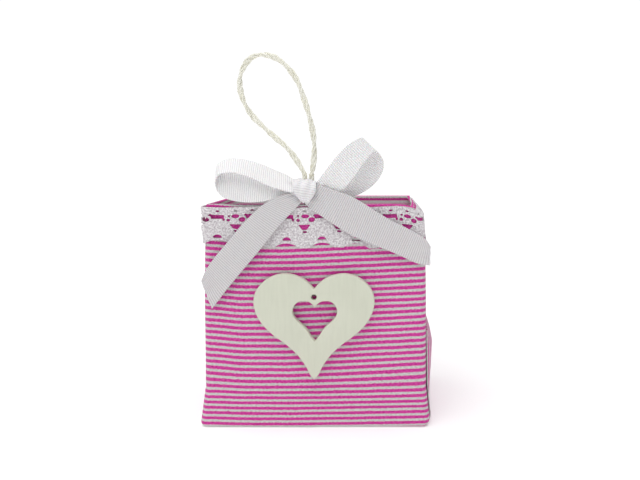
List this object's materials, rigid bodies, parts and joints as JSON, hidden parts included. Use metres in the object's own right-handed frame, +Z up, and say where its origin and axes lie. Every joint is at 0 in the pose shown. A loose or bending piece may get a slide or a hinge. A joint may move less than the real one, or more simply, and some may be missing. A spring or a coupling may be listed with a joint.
{
  "type": "gift bag",
  "caption": "Small square open-topped gift bag of card covered in striped cotton, with lace round the mouth, a ribbon bow, a wooden heart plaque and a cord loop to hang it by.",
  "frame": {"origin": "middle of the face that the bag stands on", "axes": "+Z up, -Y out of the front with the heart, +X to the right as one faces that front"},
  "size_m": [0.0968, 0.0646, 0.1518],
  "materials": {
    "card": "matt",
    "striped_cotton": "woven, matt",
    "lace": "crocheted cotton, matt",
    "painted_wood": "satin paint",
    "glue": "satin",
    "ribbon": "ribbed, slight sheen",
    "cord": "twisted, satin"
  },
  "bodies": {
    "root": {"front_card": "card", "back_card": "card", "left_card": "card", "right_card": "card", "base_card": "card", "fabric_wrap": "striped_cotton", "turned_hem": "striped_cotton", "base_fabric": "striped_cotton", "left_flap": "striped_cotton", "right_flap": "striped_cotton", "lace_trim": "lace", "heart_plaque": "painted_wood", "heart_glue": "glue", "cord_glue": "glue", "bow_knot": "ribbon", "bow_loop_left": "ribbon", "bow_loop_right": "ribbon", "cord_end_left": "cord", "cord_end_right": "cord"},
    "hanging_loop": {"hanging_cord": "cord"},
    "tail_left": {"ribbon_tail_left": "ribbon"},
    "tail_right": {"ribbon_tail_right": "ribbon"}
  },
  "joints": [
    {"name": "hanging_loop_tilt", "type": "hinge", "parent": "root", "child": "hanging_loop", "pos_m": [-0.00275, -0.02485, 0.101], "axis": [1, 0, 0], "range_deg": [-70, 70], "stiffness_Nm_per_rad": 0.002},
    {"name": "tail_left_lift", "type": "hinge", "parent": "root", "child": "tail_left", "pos_m": [-0.00761, -0.0294, 0.09057], "axis": [-0.7249, 0, 0.6889], "range_deg": [0, 60]},
    {"name": "tail_right_lift", "type": "hinge", "parent": "root", "child": "tail_right", "pos_m": [0.00204, -0.0294, 0.09224], "axis": [-0.452, 0, -0.892], "range_deg": [0, 60]}
  ]
}
